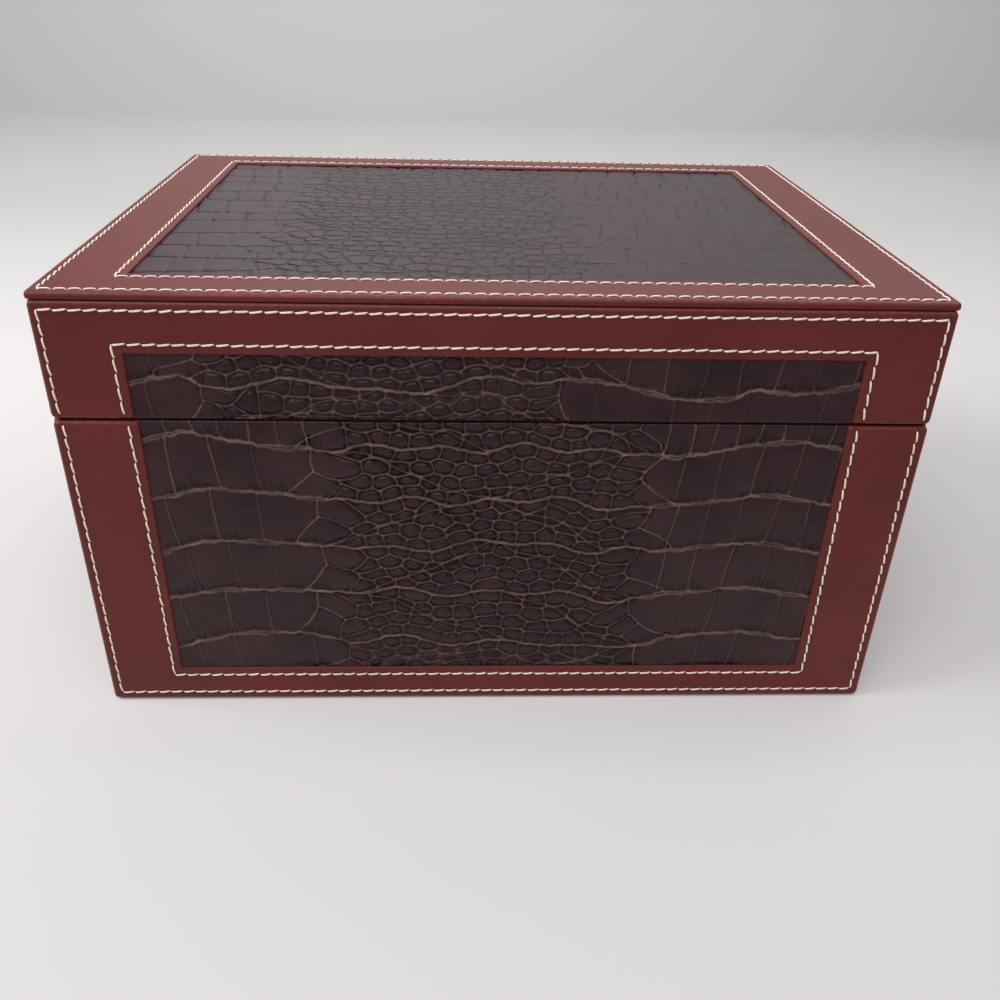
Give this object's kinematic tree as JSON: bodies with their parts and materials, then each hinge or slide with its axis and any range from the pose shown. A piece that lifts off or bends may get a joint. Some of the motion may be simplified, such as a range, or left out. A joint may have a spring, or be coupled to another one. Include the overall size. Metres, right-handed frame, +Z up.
{
  "type": "keepsake box",
  "caption": "Rectangular leather-covered keepsake box: embossed panels in smooth stitched frames, a deep base and a shallow lid that hinges open at the back over a lined interior.",
  "frame": {"origin": "middle of the underside felt's lower face, where the box rests on a table", "axes": "+X along the width to the box's right as seen from the front, +Y from the front to the hinged back, +Z up"},
  "size_m": [0.3058, 0.2362, 0.169],
  "materials": {
    "embossed_leather": "reptile-embossed, semi-gloss",
    "maroon_leather": "smooth, satin",
    "thread": "waxed thread",
    "carcass_board": "raw board",
    "backing_board": "grey fibre board",
    "lining_suede": "suede nap",
    "felt": "felt",
    "hinge_brass": "brushed",
    "screw_brass": "brushed",
    "pin_steel": "drawn wire"
  },
  "bodies": {
    "base": {"base_back_embossed_sheet": "embossed_leather", "base_back_leather_frame": "maroon_leather", "base_back_lining": "lining_suede", "base_back_stitching": "thread", "base_back_wall": "carcass_board", "base_backing_boards": "backing_board", "base_floor_board": "carcass_board", "base_floor_pad": "lining_suede", "base_front_embossed_sheet": "embossed_leather", "base_front_leather_frame": "maroon_leather", "base_front_lining": "lining_suede", "base_front_stitching": "thread", "base_front_wall": "carcass_board", "base_hinge_screws": "screw_brass", "base_left_embossed_sheet": "embossed_leather", "base_left_leather_frame": "maroon_leather", "base_left_lining": "lining_suede", "base_left_stitching": "thread", "base_left_wall": "carcass_board", "base_right_embossed_sheet": "embossed_leather", "base_right_leather_frame": "maroon_leather", "base_right_lining": "lining_suede", "base_right_stitching": "thread", "base_right_wall": "carcass_board", "base_rim_cover": "maroon_leather", "hinge_pins": "pin_steel", "left_hinge_base_leaf": "hinge_brass", "right_hinge_base_leaf": "hinge_brass", "underside_felt": "felt"},
    "lid": {"left_hinge_lid_leaf": "hinge_brass", "lid_back_embossed_sheet": "embossed_leather", "lid_back_leather_frame": "maroon_leather", "lid_back_lining": "lining_suede", "lid_back_stitching": "thread", "lid_back_wall": "carcass_board", "lid_backing_boards": "backing_board", "lid_front_embossed_sheet": "embossed_leather", "lid_front_leather_frame": "maroon_leather", "lid_front_lining": "lining_suede", "lid_front_stitching": "thread", "lid_front_wall": "carcass_board", "lid_hinge_screws": "screw_brass", "lid_left_embossed_sheet": "embossed_leather", "lid_left_leather_frame": "maroon_leather", "lid_left_lining": "lining_suede", "lid_left_stitching": "thread", "lid_left_wall": "carcass_board", "lid_pad": "lining_suede", "lid_right_embossed_sheet": "embossed_leather", "lid_right_leather_frame": "maroon_leather", "lid_right_lining": "lining_suede", "lid_right_stitching": "thread", "lid_right_wall": "carcass_board", "lid_rim_cover": "maroon_leather", "lid_top_board": "carcass_board", "lid_top_embossed_sheet": "embossed_leather", "lid_top_leather_frame": "maroon_leather", "lid_top_stitching": "thread", "right_hinge_lid_leaf": "hinge_brass"}
  },
  "joints": [
    {"name": "lid_hinge", "type": "hinge", "parent": "base", "child": "lid", "pos_m": [0, 0.1171, 0.124], "axis": [-1, 0, 0], "range_deg": [0, 95]}
  ]
}
